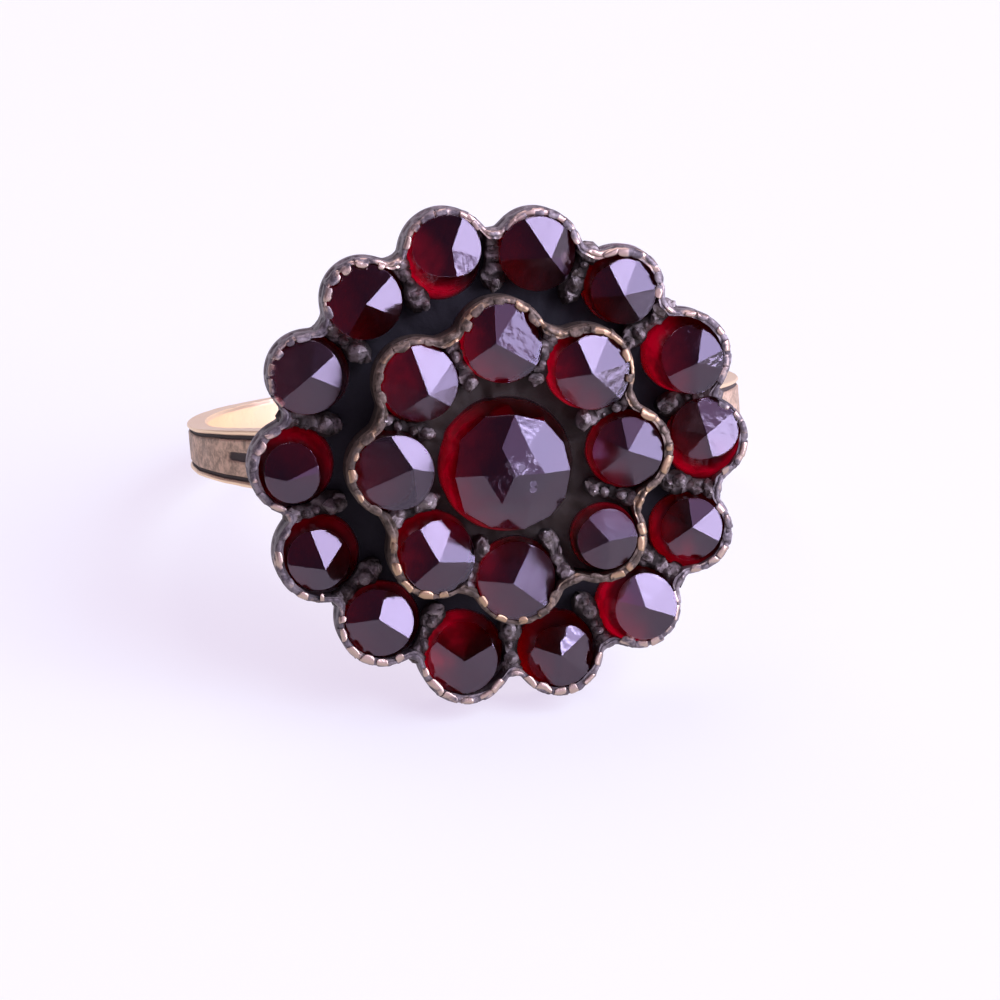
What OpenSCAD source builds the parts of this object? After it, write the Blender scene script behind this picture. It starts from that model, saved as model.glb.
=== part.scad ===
// Cluster ring: two scalloped tiers of round rose-cut stones around a larger centre
// stone, on a plain tapered hoop. The ring lies on its side as it would on a table: it
// rests on the two lowest lobes of the head and on the lower edge of the hoop's back.
// Head frame: x to the wearer's side, y along the finger, z out of the hoop's centre.

/* [Finger and hoop] */
// Inside diameter of the hoop
finger_d = 18.2; // [15:0.1:22]
// Thickness of the hoop's wall
hoop_wall = 0.7; // [0.5:0.05:1.2]
// Width of the hoop at its back
hoop_w_back = 1.3; // [1:0.1:2]
// Width of the hoop at its sides
hoop_w_side = 1.56; // [1.2:0.02:2.2]
// Width of the hoop where it is soldered to the head
hoop_w_head = 2.5; // [2:0.1:4]
// Distance from the finger to the flat back of the head
head_lift = 0.4; // [0.35:0.05:1]
// Half the gap between the hoop's two ends, behind the head
hoop_open = 3.2; // [2:0.1:4]
// Reach of each shoulder along the head's back
shoulder_reach = 6.2; // [5:0.1:7]
// Turn of the head on the hoop, as it was soldered
head_turn = 2; // [0:0.5:4]

/* [Lower tier] */
// Stones in the lower tier
lower_count = 14; // [12:2:16]
// Diameter of a lower stone at its base
lower_stone_d = 2.64; // [2.2:0.02:3.2]
// Diameter of a lower stone at its girdle
lower_girdle_d = 2.24; // [1.9:0.02:2.6]
// Gap between the bases of neighbouring lower stones
lower_stone_gap = 0.39; // [0.35:0.01:0.8]
// Height of a lower stone from base to girdle
lower_stone_h = 1.25; // [1:0.05:1.8]
// Height of a lower stone's point above its girdle
lower_crown_h = 0.66; // [0.4:0.02:0.9]
// Thickness of the lower plate
lower_plate_t = 0.7; // [0.5:0.05:1.2]
// Depth of the dip between two lower lobes
lower_dip = 0.95; // [0.6:0.05:1.1]

/* [Upper tier] */
// Stones round the centre stone
upper_count = 8; // [6:2:10]
// Diameter of an upper stone at its base
upper_stone_d = 2.66; // [2.2:0.02:3.2]
// Diameter of an upper stone at its girdle
upper_girdle_d = 2.3; // [1.9:0.02:2.6]
// Gap between the bases of neighbouring upper stones
upper_stone_gap = 0.29; // [0.2:0.01:0.8]
// Height of an upper stone from base to girdle
upper_stone_h = 1.25; // [1:0.05:1.8]
// Height of an upper stone's point above its girdle
upper_crown_h = 0.68; // [0.4:0.02:0.9]
// Rise of the upper girdles above the lower ones
tier_rise = 1.9; // [1.8:0.1:2.6]
// Thickness of the upper plate
upper_plate_t = 0.55; // [0.5:0.05:0.8]
// Depth of the dip between two upper lobes
upper_dip = 0.85; // [0.6:0.05:1.1]
// Direction of the first upper stone from the ring's middle
upper_first = 91.6; // [85:0.2:95]

/* [Centre stone] */
// Diameter of the centre stone at its base
centre_stone_d = 4.2; // [3.2:0.1:5]
// Diameter of the centre stone at its girdle
centre_girdle_d = 3.72; // [2.9:0.02:4.4]
// Least gap from the centre stone to the upper stones
centre_gap = 0.35; // [0.3:0.05:0.8]
// Height of the centre stone from base to girdle
centre_stone_h = 1.65; // [1.3:0.05:2]
// Height of the centre stone's top above its girdle
centre_crown_h = 1.0; // [0.6:0.05:1.3]

/* [Setting] */
// Thinnest part of a lobe's wall round its stone
lobe_wall = 0.18; // [0.15:0.01:0.4]
// Room between a stone and the metal
stone_clear = 0.05; // [0.03:0.01:0.1]
// Width of a claw along the rim
claw_w = 0.36; // [0.2:0.02:0.5]
// Thickness of a claw above the girdle
claw_t = 0.2; // [0.1:0.02:0.3]
// Reach of a claw over the girdle's edge
claw_reach = 0.1; // [0.05:0.01:0.2]
// Claws on each lower lobe
lower_claws = 6; // [3:1:7]
// Angle from the first to the last claw of a lower lobe
lower_claw_spread = 120; // [80:5:130]
// Claws on each upper lobe
upper_claws = 5; // [3:1:6]
// Angle from the first to the last claw of an upper lobe
upper_claw_spread = 112; // [80:4:120]
// Radius of the grains of metal between the stones
grain_r = 0.26; // [0.18:0.02:0.28]
// Gap from the centre stone to the grains round it
grain_step = 0.3; // [0.2:0.02:0.34]
// Reach of the upper tier's drum past the middle of its stones
drum_reach = 0.53; // [0.3:0.01:0.8]
// Gap between the two tiers' seated faces
seat_gap = 0.03; // [0.02:0.01:0.1]
// Radius of the rivet that holds the tiers together
rivet_r = 0.45; // [0.3:0.05:0.7]
// Radius of the rivet's heads
rivet_head_r = 0.8; // [0.6:0.05:1]
// Thickness of each rivet head
rivet_head_t = 0.25; // [0.2:0.01:0.3]
// Room round the rivet in its holes
rivet_clear = 0.05; // [0.03:0.01:0.1]

/* [Hidden] */
$fn = 96;
overlap = 0.1;              // how far joined shapes run into each other
claw_inset = 0.03;          // how far a claw stands back from the lobe's outer face
grain_inset = 0.03;         // how far a grain stands back from the dip's edge
hoop_flare = 1.5;           // how late the hoop widens on its way to the head
brass = "darkgoldenrod";
garnet = "darkred";

// How each stone sits in its lobe, clockwise from the upper left. Columns: lean in
// degrees, the way it leans (0 to the right, 90 up the finger), number of facets, and
// the turn of the first ridge.
LEAN = 0;
TOWARD = 1;
FACETS = 2;
TURN = 3;
lower_chart = [
    [12, 67, 7, 95], [4, 100, 8, 0], [3, 45, 6, 10], [12, -15, 7, 20], [11, 98, 6, 30],
    [9, 80, 7, 15], [12, 10, 6, -15], [5, 35, 7, 40], [12, -108, 6, 35], [4, -150, 6, 5],
    [5, 98, 6, 30], [10, -148, 6, 10], [5, 115, 6, 25], [3, 115, 7, 15]];
upper_chart = [
    [5, 55, 7, 30], [4, -20, 6, 20], [8, 87, 7, 10], [8, -91, 7, 25],
    [6, 150, 6, 30], [7, -53, 8, 0], [4, 26, 6, 15], [4, 17, 7, 35]];
centre_row = [6, -41, 11, 5];

// The hoop
finger_r = finger_d / 2;
hoop_r = finger_r + hoop_wall;

// The lower tier, from its flat back up to its rim
lower_stone_r = lower_stone_d / 2;
lower_girdle_r = lower_girdle_d / 2;
lower_lobe_r = lower_stone_r + stone_clear + lobe_wall;
lower_back = finger_r + head_lift;
lower_floor = lower_back + lower_plate_t;
lower_girdle = lower_floor + stone_clear + lower_stone_h;

// The upper tier, whose stones stand as close as their neighbours and the centre allow
upper_stone_r = upper_stone_d / 2;
upper_girdle_r = upper_girdle_d / 2;
centre_stone_r = centre_stone_d / 2;
centre_girdle_r = centre_girdle_d / 2;
upper_lobe_r = upper_stone_r + stone_clear + lobe_wall;
upper_ring_r = max(ring_for(upper_count, upper_stone_d + upper_stone_gap),
                   centre_stone_r + centre_gap + upper_stone_r);
upper_tip_r = upper_ring_r + upper_lobe_r;
upper_girdle = lower_girdle + tier_rise;
upper_floor = upper_girdle - upper_stone_h - stone_clear;
upper_back = upper_floor - upper_plate_t;

// The lower stones stand as close as their neighbours and the upper tier's rim allow
lower_ring_r = max(ring_for(lower_count, lower_stone_d + lower_stone_gap),
                   upper_tip_r + stone_clear + lower_girdle_r);
lower_tip_r = lower_ring_r + lower_lobe_r;
lower_web_r = lower_tip_r - lower_dip;
upper_web_r = upper_tip_r - upper_dip;

// Grains of metal stand between the stones, at the dips of each rim and further in
lower_edge_grains_r = lower_web_r - grain_r - grain_inset;
lower_inner_grains_r = max(upper_tip_r + stone_clear + grain_r,
                           lower_ring_r - lower_stone_r + grain_r);
upper_edge_grains_r = upper_web_r - grain_r - grain_inset;
upper_inner_grains_r = centre_stone_r + grain_step + grain_r + stone_clear;

// The drum that carries the upper tier on the lower plate
drum_r = upper_ring_r + drum_reach;

// Stones stand a touch above the floor that they are seated in
lower_seat = lower_floor + stone_clear;
upper_seat = upper_floor + stone_clear;

// The rivet's upper head lies in a recess under the centre stone's seat
rivet_top = upper_floor - centre_stone_r * sin(centre_row[LEAN]);
rivet_shoulder = rivet_top - rivet_head_t;

// Radius of a circle of count stones that stand a pitch apart
function ring_for(count, pitch) = pitch / (2 * sin(180 / count));

// Direction of the k-th stone of a tier, clockwise from the upper left
function lower_angle(k) = 90 + 180 / lower_count - k * 360 / lower_count;
function upper_angle(k) = upper_first - k * 360 / upper_count;

// Half the hoop's width at a share s of its radius from the back, -1, to the head, 1
function hoop_half(s) = s < 0
    ? (hoop_w_side + (hoop_w_back - hoop_w_side) * s * s) / 2
    : (hoop_w_side + (hoop_w_head - hoop_w_side) * pow(s, hoop_flare)) / 2;

// The tilt at which the two lowest lobes and the hoop's back edge touch one plane: the
// lowest point of the hoop's edge lies as deep as the back edge of those lobes
lobe_depth = lower_ring_r * cos(180 / lower_count) + lower_lobe_r;
edge_depth = lobe_depth - hoop_half(-1) * cos(head_turn);
turn_drop = hoop_r * sin(head_turn);
tilt_a = hoop_r * hoop_r - lower_back * lower_back;
tilt_b = edge_depth * lower_back;
tilt_c = turn_drop * turn_drop - edge_depth * edge_depth;
rest_tilt = atan((-tilt_b + sqrt(tilt_b * tilt_b - tilt_a * tilt_c)) / tilt_a);
rest_height = lobe_depth * cos(rest_tilt) - lower_back * sin(rest_tilt);

// Middle of the ring's length on the table, from the foremost upper lobe to the hoop
front_reach = (upper_girdle + claw_t) * cos(rest_tilt)
    + (upper_ring_r + upper_lobe_r) * sin(rest_tilt);
back_reach = hoop_r * cos(rest_tilt) + hoop_half(-1) * sin(rest_tilt);
rest_shift = (front_reach - back_reach) / 2;

// Takes the head frame to where the ring rests
module at_rest() {
    translate([0, rest_shift, rest_height])
        rotate([-rest_tilt, 0, 0])
            rotate([90, 0, 0])
                children();
}

// Moves its children to the k-th place of a tier, keeping their directions
module on_ring(ring_r, angle) {
    translate([ring_r * cos(angle), ring_r * sin(angle), 0]) children();
}

// Leans its children about the middle of their base
module leaning(row, seat) {
    translate([0, 0, seat])
        rotate([0, 0, row[TOWARD]])
            rotate([0, row[LEAN], 0])
                rotate([0, 0, -row[TOWARD]])
                    children();
}

// A stone with a slightly tapered wall and a pointed crown of flat facets
module cut_stone(base_r, girdle_r, wall_h, crown_h, row) {
    full_h = wall_h + crown_h;
    top_r = base_r - (base_r - girdle_r) * full_h / wall_h;
    intersection() {
        cylinder(h = full_h, r1 = base_r, r2 = top_r);
        rotate([0, 0, row[TURN]])
            cylinder(h = full_h, r1 = full_h * girdle_r / crown_h, r2 = 0, $fn = row[FACETS]);
    }
}

// The room that a stone needs: its own wall and crown, larger by the clearance
module stone_room(base_r, girdle_r, wall_h, crown_h) {
    translate([0, 0, -stone_clear])
        cylinder(h = wall_h + 2 * stone_clear, r1 = base_r + stone_clear,
                 r2 = girdle_r + stone_clear);
    translate([0, 0, wall_h])
        cylinder(h = crown_h + stone_clear, r1 = girdle_r + stone_clear, r2 = stone_clear);
}

// A flat scalloped slab: a disc with a round lobe at each stone
module scalloped(count, ring_r, lobe_r, web_r, first, bottom, top) {
    translate([0, 0, bottom])
        linear_extrude(height = top - bottom) {
            circle(r = web_r);
            for (k = [0 : count - 1])
                rotate(first - k * 360 / count)
                    translate([ring_r, 0]) circle(r = lobe_r);
        }
}

// Claws along the outer side of one lobe, bent in over the girdle
module lobe_claws(count, spread, lobe_r, girdle_r, girdle) {
    claw_in = girdle_r - claw_reach;
    claw_out = sqrt(lobe_r * lobe_r - claw_w * claw_w / 4) - claw_inset;
    for (k = [0 : count - 1])
        rotate([0, 0, spread * (k / (count - 1) - 0.5)])
            translate([claw_in, -claw_w / 2, girdle - overlap])
                cube([claw_out - claw_in, claw_w, claw_t + overlap]);
}

// A grain of metal, worn to a blunt cone at its top
module grain(floor, top) {
    translate([0, 0, floor - overlap]) cylinder(h = top - grain_r - floor + overlap, r = grain_r);
    translate([0, 0, top - grain_r]) cylinder(h = grain_r, r1 = grain_r, r2 = grain_r / 2);
}

// The hoop's outline from its side: the ring itself and the shoulders that rise from it
// along a tangent to the head's back
module hoop_side() {
    reach = norm([shoulder_reach, lower_back]);
    lift = atan2(shoulder_reach, lower_back) + acos(hoop_r / reach);
    tangent = hoop_r * [sin(lift), cos(lift)];
    difference() {
        union() {
            circle(r = hoop_r);
            for (side = [-1, 1])
                polygon([[0, 0], [side * tangent[0], tangent[1]],
                         [side * shoulder_reach, lower_back + overlap], [0, lower_back + overlap]]);
        }
        circle(r = finger_r);
        translate([-hoop_open, 0]) square([2 * hoop_open, 2 * hoop_r]);
    }
}

// The hoop's outline from the front, wider towards the head
module hoop_front() {
    steps = 16;
    run = max(hoop_r, lower_back) + overlap;
    polygon(concat(
        [for (k = [0 : steps]) let (s = -1 + 2 * k / steps) [hoop_half(s), s * run]],
        [for (k = [steps : -1 : 0]) let (s = -1 + 2 * k / steps) [-hoop_half(s), s * run]]));
}

// The hoop in the head frame, turned as it was soldered
module hoop() {
    rotate([0, 0, head_turn])
        intersection() {
            rotate([90, 0, 0])
                linear_extrude(height = hoop_w_head + 2 * overlap, center = true) hoop_side();
            rotate([90, 0, 90])
                linear_extrude(height = 2 * (hoop_r + overlap), center = true) hoop_front();
        }
}

// Hoop, shoulders and lower tier, soldered into one
module ring_mount() {
    color(brass) at_rest() difference() {
        union() {
            hoop();
            difference() {
                scalloped(lower_count, lower_ring_r, lower_lobe_r, lower_web_r,
                          lower_angle(0), lower_back, lower_girdle);
                // The floor lies open inside the circle of stones
                translate([0, 0, lower_floor])
                    cylinder(h = lower_girdle, r = lower_ring_r - overlap);
            }
            for (k = [0 : lower_count - 1])
                rotate([0, 0, lower_angle(k)]) translate([lower_ring_r, 0, 0])
                    lobe_claws(lower_claws, lower_claw_spread, lower_lobe_r,
                               lower_girdle_r, lower_girdle);
            for (k = [0 : lower_count - 1])
                rotate([0, 0, lower_angle(k + 0.5)]) {
                    translate([lower_edge_grains_r, 0, 0])
                        grain(lower_girdle - grain_r, lower_girdle + claw_t);
                    translate([lower_inner_grains_r, 0, 0])
                        grain(lower_floor, lower_girdle + claw_t);
                }
        }
        for (k = [0 : lower_count - 1])
            on_ring(lower_ring_r, lower_angle(k))
                leaning(lower_chart[k % len(lower_chart)], lower_seat)
                    stone_room(lower_stone_r, lower_girdle_r, lower_stone_h, lower_crown_h);
        cylinder(h = upper_floor, r = rivet_r + rivet_clear);
    }
}

// Raised cup of the upper tier on its drum
module upper_setting() {
    color(brass) at_rest() difference() {
        union() {
            translate([0, 0, lower_floor + seat_gap])
                cylinder(h = upper_floor - lower_floor - seat_gap, r = drum_r);
            difference() {
                scalloped(upper_count, upper_ring_r, upper_lobe_r, upper_web_r,
                          upper_angle(0), upper_back, upper_girdle);
                // The floor lies open inside the circle of stones
                translate([0, 0, upper_floor])
                    cylinder(h = upper_girdle, r = upper_ring_r - overlap);
            }
            for (k = [0 : upper_count - 1])
                rotate([0, 0, upper_angle(k)]) translate([upper_ring_r, 0, 0])
                    lobe_claws(upper_claws, upper_claw_spread, upper_lobe_r,
                               upper_girdle_r, upper_girdle);
            for (k = [0 : upper_count - 1])
                rotate([0, 0, upper_angle(k + 0.5)]) {
                    translate([upper_edge_grains_r, 0, 0])
                        grain(upper_girdle - grain_r, upper_girdle + claw_t);
                    translate([upper_inner_grains_r, 0, 0])
                        grain(upper_floor, upper_girdle + claw_t);
                }
        }
        for (k = [0 : upper_count - 1])
            on_ring(upper_ring_r, upper_angle(k))
                leaning(upper_chart[k % len(upper_chart)], upper_seat)
                    stone_room(upper_stone_r, upper_girdle_r, upper_stone_h, upper_crown_h);
        leaning(centre_row, upper_seat)
            stone_room(centre_stone_r, centre_girdle_r, centre_stone_h, centre_crown_h);
        cylinder(h = upper_girdle, r = rivet_r + rivet_clear);
        translate([0, 0, rivet_shoulder - rivet_clear])
            cylinder(h = upper_girdle - rivet_shoulder, r = rivet_head_r + rivet_clear);
    }
}

// Rivet through both plates, with a flat head at each end
module tier_rivet() {
    color(brass) at_rest() {
        translate([0, 0, lower_back - seat_gap - rivet_head_t])
            cylinder(h = rivet_head_t, r = rivet_head_r);
        translate([0, 0, lower_back - seat_gap - overlap])
            cylinder(h = rivet_shoulder - lower_back + seat_gap + 2 * overlap, r = rivet_r);
        translate([0, 0, rivet_shoulder]) cylinder(h = rivet_head_t, r = rivet_head_r);
    }
}

module centre_stone() {
    color(garnet) at_rest() leaning(centre_row, upper_seat)
        cut_stone(centre_stone_r, centre_girdle_r, centre_stone_h, centre_crown_h, centre_row);
}

// The k-th stone round the centre, counted from 0
module inner_stone(k) {
    row = upper_chart[k % len(upper_chart)];
    color(garnet) at_rest() on_ring(upper_ring_r, upper_angle(k)) leaning(row, upper_seat)
        cut_stone(upper_stone_r, upper_girdle_r, upper_stone_h, upper_crown_h, row);
}

// The k-th stone of the lower tier, counted from 0
module outer_stone(k) {
    row = lower_chart[k % len(lower_chart)];
    color(garnet) at_rest() on_ring(lower_ring_r, lower_angle(k)) leaning(row, lower_seat)
        cut_stone(lower_stone_r, lower_girdle_r, lower_stone_h, lower_crown_h, row);
}

ring_mount();
upper_setting();
tier_rivet();
centre_stone();
for (k = [0 : upper_count - 1])
    inner_stone(k);
for (k = [0 : lower_count - 1])
    outer_stone(k);
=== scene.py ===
# %% [markdown]
# # A cluster ring of dark red rose-cut stones
#
# The real ring is old gilt brass. Fourteen small stones stand in a scalloped lower tray,
# eight more in a raised upper tray, and one larger stone sits in the middle. The stones
# are short tapered drums with a faceted point, held by little claws bent in over their
# edge. The imported CAD model gives the size and place of everything, and this script builds
# finer surfaces over it: cut facets, worn claws, lumpy grains, grime with painted shade,
# a painted highlight on the metal, a painted red glow in the stones and the hoop's grooves.

import math

import bpy
import numpy as np
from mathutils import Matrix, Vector


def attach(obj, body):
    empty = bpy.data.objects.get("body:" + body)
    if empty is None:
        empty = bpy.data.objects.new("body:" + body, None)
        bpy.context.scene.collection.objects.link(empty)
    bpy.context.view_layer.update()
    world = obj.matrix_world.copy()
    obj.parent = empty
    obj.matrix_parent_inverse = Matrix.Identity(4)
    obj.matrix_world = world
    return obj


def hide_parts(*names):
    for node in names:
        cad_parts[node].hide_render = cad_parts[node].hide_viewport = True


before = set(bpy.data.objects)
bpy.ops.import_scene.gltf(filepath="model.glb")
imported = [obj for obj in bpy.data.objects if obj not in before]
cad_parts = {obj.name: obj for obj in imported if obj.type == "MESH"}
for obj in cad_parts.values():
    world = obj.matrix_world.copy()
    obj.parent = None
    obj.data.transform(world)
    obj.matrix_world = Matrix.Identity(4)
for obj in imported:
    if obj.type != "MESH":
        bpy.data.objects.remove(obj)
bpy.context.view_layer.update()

# %% [markdown]
# ## The head's own directions
#
# The ring lies on its side, so the flower of stones leans back by about 21 degrees. It is
# easier to think in the head's own frame: across, along the finger, and straight out of
# the stones. Every shape is worked out there, in millimetres, and one function carries the
# points to where the ring rests.

# %% From the head's frame to the table
MM = 0.001
TILT = math.radians(21.2949)
RISE = 4.1785
SHIFT = 2.6354
TURN = math.tau


def placed(points):
    """Head frame in mm to the row frame in metres: a turn by the resting tilt about the
    sideways axis, then a move by the resting height and shift."""
    across, along, out = points[..., 0], points[..., 1], points[..., 2]
    return MM * np.stack([across,
                          along * math.sin(TILT) - out * math.cos(TILT) + SHIFT,
                          along * math.cos(TILT) + out * math.sin(TILT) + RISE], -1)


def heading(direction):
    """A direction of the head frame as a direction of the row frame."""
    return Vector((placed(np.array(direction, float)) - placed(np.zeros(3))) / MM)


print("the head looks towards", [round(v, 3) for v in heading((0, 0, 1))])

# %% [markdown]
# ## The camera
#
# A long lens from the photograph's direction: a little left of the head's own axis and a
# little above it. Its place was solved from the stones' centres in the photograph.

# %% The camera
scene = bpy.context.scene
scene.view_settings.view_transform = "Standard"


def shown(name, data):
    """An object in the scene for a camera, lamp or mesh."""
    thing = bpy.data.objects.new(name, data)
    scene.collection.objects.link(thing)
    return thing


lens = bpy.data.cameras.new("camera")
lens.lens, lens.sensor_width = 144, 36
lens.clip_start, lens.clip_end = 0.01, 20
camera = shown("camera", lens)
camera.location = (-0.015338, -0.122745, 0.069344)
camera.rotation_euler = [math.radians(a) for a in (61.5658, -0.0286, -7.536)]
scene.camera = camera

# %% [markdown]
# ## Shader maths as plain expressions
#
# Node trees are hard to read as long lists of links. Two small classes help. `Value`
# wraps one number that changes over a surface, so that `1 - mask * 0.5` adds the Math
# nodes by itself. `Finish` is one material; its `add` method makes any other node from
# its type, its settings and the values or links of its sockets.

# %% Values and finishes


class Value:
    """A socket that carries one number, with arithmetic that adds Math nodes."""

    def __init__(self, finish, socket):
        self.finish, self.socket = finish, socket

    def maths(self, operation, *others):
        node = self.finish.tree.nodes.new("ShaderNodeMath")
        node.operation = operation
        for socket, value in zip(node.inputs, (self, *others)):
            self.finish.feed(socket, value)
        return Value(self.finish, node.outputs[0])

    def __add__(self, other):
        return self.maths("ADD", other)

    __radd__ = __add__

    def __mul__(self, other):
        return self.maths("MULTIPLY", other)

    __rmul__ = __mul__

    def __sub__(self, other):
        return self.maths("SUBTRACT", other)

    def __rsub__(self, other):
        return (self * -1).maths("ADD", other)

    def larger(self, other):
        return self.maths("MAXIMUM", other)

    def rise(self, low, high, start=0.0, end=1.0):
        """A smooth step from start to end as this value goes from low to high."""
        return self.finish.add("ShaderNodeMapRange", {"interpolation_type": "SMOOTHSTEP"},
                               {"Value": self, "From Min": low, "From Max": high,
                                "To Min": start, "To Max": end})


class Finish:
    """One material, made of a Principled shader and the nodes that feed it."""

    def __init__(self, name, **constants):
        self.material = bpy.data.materials.new(name)
        self.material.use_nodes = True
        self.tree = self.material.node_tree
        self.shader = self.tree.nodes["Principled BSDF"]
        self.set(**constants)
        self.places = self.add("ShaderNodeTexCoord", {}, {}, "Object")

    def feed(self, socket, value):
        """Puts a constant on a socket, or links a value or another socket to it."""
        if isinstance(value, Value):
            value = value.socket
        if isinstance(value, bpy.types.NodeSocket):
            self.tree.links.new(value, socket)
        elif socket.type == "RGBA" and len(value) == 3:
            socket.default_value = (*value, 1)
        else:
            socket.default_value = value

    def set(self, **sockets):
        """Feeds the Principled shader's own sockets, named with _ for a space."""
        for name, value in sockets.items():
            self.feed(self.shader.inputs[name.replace("_", " ")], value)

    def add(self, kind, settings, sockets, output=0):
        """A node of that type: its settings first, then its sockets by name. A number comes
        back as a Value, a colour or vector as its plain socket."""
        node = self.tree.nodes.new(kind)
        for name, value in settings.items():
            setattr(node, name, value)
        for name, value in sockets.items():
            socket = next(s for s in node.inputs if s.enabled and name in (s.name, s.identifier))
            self.feed(socket, value)
        made = node.outputs[output]
        return Value(self, made) if made.type == "VALUE" else made

    def blend(self, share, first, second):
        """A colour between two others, by a share from 0 to 1."""
        return self.add("ShaderNodeMix", {"data_type": "RGBA", "clamp_factor": True},
                        {"Factor_Float": share, "A_Color": first, "B_Color": second}, 2)

    def noise(self, size_mm, detail, roughness):
        """Cloudy noise from 0 to 1 whose largest lumps have about that size."""
        return self.add("ShaderNodeTexNoise", {},
                        {"Vector": self.places, "Scale": 1 / (size_mm * MM), "Detail": detail,
                         "Roughness": roughness})

    def mark(self, name):
        """A number that the mesh carries at its points."""
        return self.add("ShaderNodeAttribute", {"attribute_name": name}, {}, "Fac")

    def bump(self, height, depth_mm):
        """A normal from a height between 0 and 1 that stands for that many millimetres."""
        return self.add("ShaderNodeBump", {},
                        {"Height": height, "Distance": depth_mm * MM, "Strength": 0.6},
                        "Normal")


print("shader helpers ready")

# %% [markdown]
# ## The table and the light
#
# The photograph was taken by a bright window up on the right, over a white cloth lit
# until it is almost blank, in a dim room. Each facet of a stone is a small mirror, so this
# matters: facets that face up and right show the window, facets that face down show the
# cloth in mauve, and those that face left stay dark. The window is five flat lamps side by
# side, as panes, the left one dimmer and bluer. Behind it hangs a lamp as large as a
# curtain, and two weak ones stand for ceiling and pale shirt.

# %% The table and the light
WINDOW_TOWARDS = (0.75, 0.38, 0.54)     # in the head's frame


def soft_light(name, towards, distance, width, height, radiance, colour):
    """A flat lamp that faces the origin. Its power is its radiance times pi and its area."""
    direction = Vector(towards).normalized()
    lamp = bpy.data.lights.new(name, "AREA")
    lamp.shape, lamp.size, lamp.size_y = "RECTANGLE", width, height
    lamp.color, lamp.energy = colour, radiance * math.pi * width * height
    holder = shown(name, lamp)
    holder.location = direction * distance
    holder.rotation_mode = "QUATERNION"
    holder.rotation_quaternion = direction.to_track_quat("Z", "Y")


cloth = Finish("white_cloth", Base_Color=(0.18, 0.23, 0.17), Roughness=0.95,
               Specular_IOR_Level=0.1, Emission_Color=(0.895, 0.785, 0.985),
               Emission_Strength=0.79)
table = bpy.data.meshes.new("table_cloth")
table.from_pydata([(-3, -3, 0), (3, -3, 0), (3, 3, 0), (-3, 3, 0)], [], [(0, 1, 2, 3)])
table.materials.append(cloth.material)
shown("table_cloth", table)

# Each pane: its place to the side and upwards from the window's middle, one metre away, then
# its width, height, radiance and colour.
ahead = heading(WINDOW_TOWARDS).normalized()
aside = ahead.cross((0, 0, 1)).normalized()
above = aside.cross(ahead)
PANES = [(-0.30, -0.02, 0.30, 0.94, 5.2, (0.66, 0.72, 1.0)),
         (-0.01, 0.21, 0.32, 0.53, 10.0, (0.73, 0.76, 1.0)),
         (-0.01, -0.35, 0.32, 0.55, 9.0, (0.73, 0.76, 1.0)),
         (0.32, 0.21, 0.31, 0.53, 8.5, (0.73, 0.76, 1.0)),
         (0.32, -0.35, 0.31, 0.55, 10.5, (0.73, 0.77, 1.0))]
for n, (to_side, upwards, width, height, radiance, colour) in enumerate(PANES):
    towards = ahead + to_side * aside + upwards * above
    soft_light(f"window_pane_{n + 1}", towards, towards.length, width, height, radiance, colour)
soft_light("curtain", heading(WINDOW_TOWARDS), 1.05, 1.7, 1.7, 1.4, (0.80, 0.62, 1.0))
soft_light("ceiling", (-0.1, 0.5, 0.86), 1.0, 0.8, 0.8, 3.0, (1.0, 0.88, 1.0))
soft_light("pale_shirt", heading((-0.2, -0.06, 0.975)), 1.1, 0.7, 0.7, 1.2, (0.86, 0.74, 1.0))
room = bpy.data.worlds.new("dim_room")
scene.world = room
room.use_nodes = True
room.node_tree.nodes["Background"].inputs["Color"].default_value = (0.13, 0.08, 0.15, 1)

# %% [markdown]
# ## Surfaces as grids of numbers
#
# Each new surface is a grid: rows run one way over it and columns the other, and numpy
# works out all its points at once. `skin` joins neighbours with four-cornered faces. The
# columns always close on themselves, as round a post. The rows either close too, as on a
# loop, or end in a fan of triangles round a middle point.

# %% Grids to meshes


def skin(grid, loop=False):
    """Points and faces of one grid, or of many at once: the last three axes of the array
    are rows, columns and x, y, z."""
    grid = grid.reshape(-1, *grid.shape[-3:])
    many, rows, columns = grid.shape[:3]
    number = np.arange(many * rows * columns).reshape(many, rows, columns)
    low = number if loop else number[:, :-1]
    high = np.roll(number, -1, 1) if loop else number[:, 1:]
    quads = np.stack([low, np.roll(low, -1, 2), np.roll(high, -1, 2), high], -1)
    points, faces = grid.reshape(-1, 3), quads.reshape(-1, 4).tolist()
    if not loop:
        for row, back in ((0, True), (-1, False)):
            middle = len(points) + np.arange(many)
            points = np.concatenate([points, grid[:, row].mean(1)])
            here, after = number[:, row], np.roll(number[:, row], -1, 1)
            pair = (after, here) if back else (here, after)
            fan = np.stack([np.broadcast_to(middle[:, None], here.shape), *pair], -1)
            faces += fan.reshape(-1, 3).tolist()
    return points, faces


def bulk(points, faces):
    """The volume inside the faces; below zero if they point inwards."""
    corners = np.array([(f[0], a, b) for f in faces for a, b in zip(f[1:-1], f[2:])])
    a, b, c = points[corners[:, 0]], points[corners[:, 1]], points[corners[:, 2]]
    return float(np.einsum("ij,ij->", a, np.cross(b, c)) / 6)


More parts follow.
